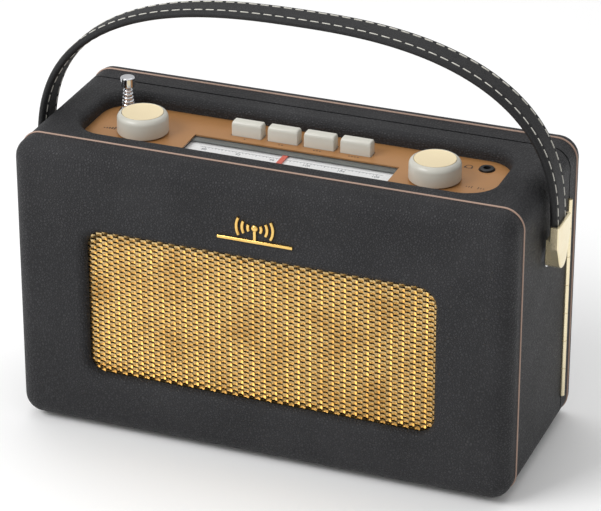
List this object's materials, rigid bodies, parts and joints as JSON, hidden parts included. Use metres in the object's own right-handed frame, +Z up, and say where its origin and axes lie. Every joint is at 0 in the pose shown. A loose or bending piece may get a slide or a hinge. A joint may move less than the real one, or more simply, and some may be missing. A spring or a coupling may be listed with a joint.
{
  "type": "tabletop radio",
  "caption": "Portable tabletop radio in dark leathercloth with gold mesh grille, recessed top controls and dial, telescopic aerial, strap handle and hinged back.",
  "frame": {"origin": "on the standing surface, below the middle of the cabinet", "axes": "+X to the radio's right as the user faces its grille, which faces -Y; +Z up"},
  "size_m": [0.269, 0.1052, 0.2141],
  "materials": {
    "leathercloth": "pebbled charcoal leathercloth",
    "piping": "pinkish tan beading",
    "board": "plain ply",
    "gold_mesh": "bright gold",
    "speaker_cloth": "dark cloth",
    "pressed_steel": "zinc plated",
    "soft_rubber": "matt black",
    "speaker_paper": "dark pulp",
    "ferrite": "dull dark grey",
    "black_plastic": "moulded black",
    "copper_panel": "satin copper lacquer",
    "scale_white": "printed white scale",
    "clear_lens": "clear polished",
    "pointer_red": "coral red",
    "dial_thread": "woven cord",
    "circuit_green": "green laminate",
    "component_plastic": "moulded parts",
    "coil_copper": "enamelled copper wire",
    "cell_jacket": "plain printed jacket",
    "bright_chrome": "polished",
    "pale_brass": "polished pale brass",
    "strap_leather": "grained black leather, white stitching",
    "knob_plastic": "satin greige",
    "disc_gold": "pale gold anodised"
  },
  "bodies": {
    "cabinet": {"cabinet_shell": "leathercloth", "front_cover": "leathercloth", "front_piping": "piping", "baffle_board": "board", "grille_mesh": "gold_mesh", "grille_cloth": "speaker_cloth", "speaker_basket": "pressed_steel", "speaker_surround": "soft_rubber", "speaker_cone": "speaker_paper", "speaker_magnet": "ferrite", "emblem": "gold_mesh", "control_chassis": "black_plastic", "control_panel": "copper_panel", "chassis_screws": "pressed_steel", "dial_scale": "scale_white", "dial_lens": "clear_lens", "pointer_rail": "pressed_steel", "dial_cord": "dial_thread", "volume_control": "pressed_steel", "tuning_capacitor": "pressed_steel", "circuit_board": "circuit_green", "board_parts": "component_plastic", "ferrite_rod": "ferrite", "ferrite_coils": "coil_copper", "switch_bank": "black_plastic", "headphone_socket": "black_plastic", "power_socket": "black_plastic", "battery_tray": "black_plastic", "battery_cells": "cell_jacket", "battery_contacts": "pressed_steel", "aerial_bush": "bright_chrome", "feet": "soft_rubber", "pivot_studs": "pressed_steel", "pivot_washers": "bright_chrome", "hinge_leaf_cabinet": "pale_brass", "hinge_pin": "pale_brass", "door_magnet": "ferrite"},
    "handle": {"handle_strap": "strap_leather", "handle_bracket_left": "pale_brass", "handle_bracket_right": "pale_brass"},
    "volume_control_knob": {"volume_knob": "knob_plastic", "volume_knob_disc": "disc_gold", "volume_shaft": "pressed_steel"},
    "tuning_control_knob": {"tuning_knob": "knob_plastic", "tuning_knob_disc": "disc_gold", "tuning_shaft": "pressed_steel"},
    "pointer": {"dial_pointer": "pointer_red"},
    "button_1_body": {"button_1": "knob_plastic"},
    "button_2_body": {"button_2": "knob_plastic"},
    "button_3_body": {"button_3": "knob_plastic"},
    "button_4_body": {"button_4": "knob_plastic"},
    "aerial_base": {"aerial_lower": "bright_chrome"},
    "aerial_2": {"aerial_second": "bright_chrome"},
    "aerial_3": {"aerial_third": "bright_chrome"},
    "aerial_4": {"aerial_tip": "bright_chrome"},
    "back_door": {"door_rim": "leathercloth", "door_piping": "piping", "door_panel": "leathercloth", "door_strike": "pressed_steel", "hinge_leaf_door": "pale_brass"}
  },
  "joints": [
    {"name": "handle_swing", "type": "hinge", "parent": "cabinet", "child": "handle", "pos_m": [0, 0, 0.112], "axis": [1, 0, 0], "range_deg": [-28, 28]},
    {"name": "volume_turn", "type": "hinge", "parent": "cabinet", "child": "volume_control_knob", "pos_m": [-0.077, -0.005, 0.144], "axis": [0, 0, -1], "range_deg": [0, 300]},
    {"name": "tuning_turn", "type": "hinge", "parent": "cabinet", "child": "tuning_control_knob", "pos_m": [0.072, -0.005, 0.144], "axis": [0, 0, -1], "range_deg": [-360, 420]},
    {"name": "pointer_slide", "type": "slide", "parent": "cabinet", "child": "pointer", "axis": [1, 0, 0], "range_m": [-0.0425, 0.0495]},
    {"name": "button_1_press", "type": "slide", "parent": "cabinet", "child": "button_1_body", "axis": [0, 0, -1], "range_m": [0, 0.003], "stiffness_N_per_m": 150, "springref_m": -0.002},
    {"name": "button_2_press", "type": "slide", "parent": "cabinet", "child": "button_2_body", "axis": [0, 0, -1], "range_m": [0, 0.003], "stiffness_N_per_m": 150, "springref_m": -0.002},
    {"name": "button_3_press", "type": "slide", "parent": "cabinet", "child": "button_3_body", "axis": [0, 0, -1], "range_m": [0, 0.003], "stiffness_N_per_m": 150, "springref_m": -0.002},
    {"name": "button_4_press", "type": "slide", "parent": "cabinet", "child": "button_4_body", "axis": [0, 0, -1], "range_m": [0, 0.003], "stiffness_N_per_m": 150, "springref_m": -0.002},
    {"name": "aerial_turn", "type": "hinge", "parent": "cabinet", "child": "aerial_base", "pos_m": [-0.093, 0.0136, 0.1432], "axis": [0, 0, 1], "continuous": true},
    {"name": "aerial_second_slide", "type": "slide", "parent": "aerial_base", "child": "aerial_2", "axis": [0, 0, 1], "range_m": [0, 0.086]},
    {"name": "aerial_third_slide", "type": "slide", "parent": "aerial_2", "child": "aerial_3", "axis": [0, 0, 1], "range_m": [0, 0.08]},
    {"name": "aerial_tip_slide", "type": "slide", "parent": "aerial_3", "child": "aerial_4", "axis": [0, 0, 1], "range_m": [0, 0.074]},
    {"name": "back_door_open", "type": "hinge", "parent": "cabinet", "child": "back_door", "pos_m": [0.1265, 0.035, 0.018], "axis": [0, 0, -1], "range_deg": [0, 110]}
  ],
  "couplings": [
    {"joint": "pointer_slide", "follows": "tuning_turn", "m_per_rad": 0.0067}
  ]
}
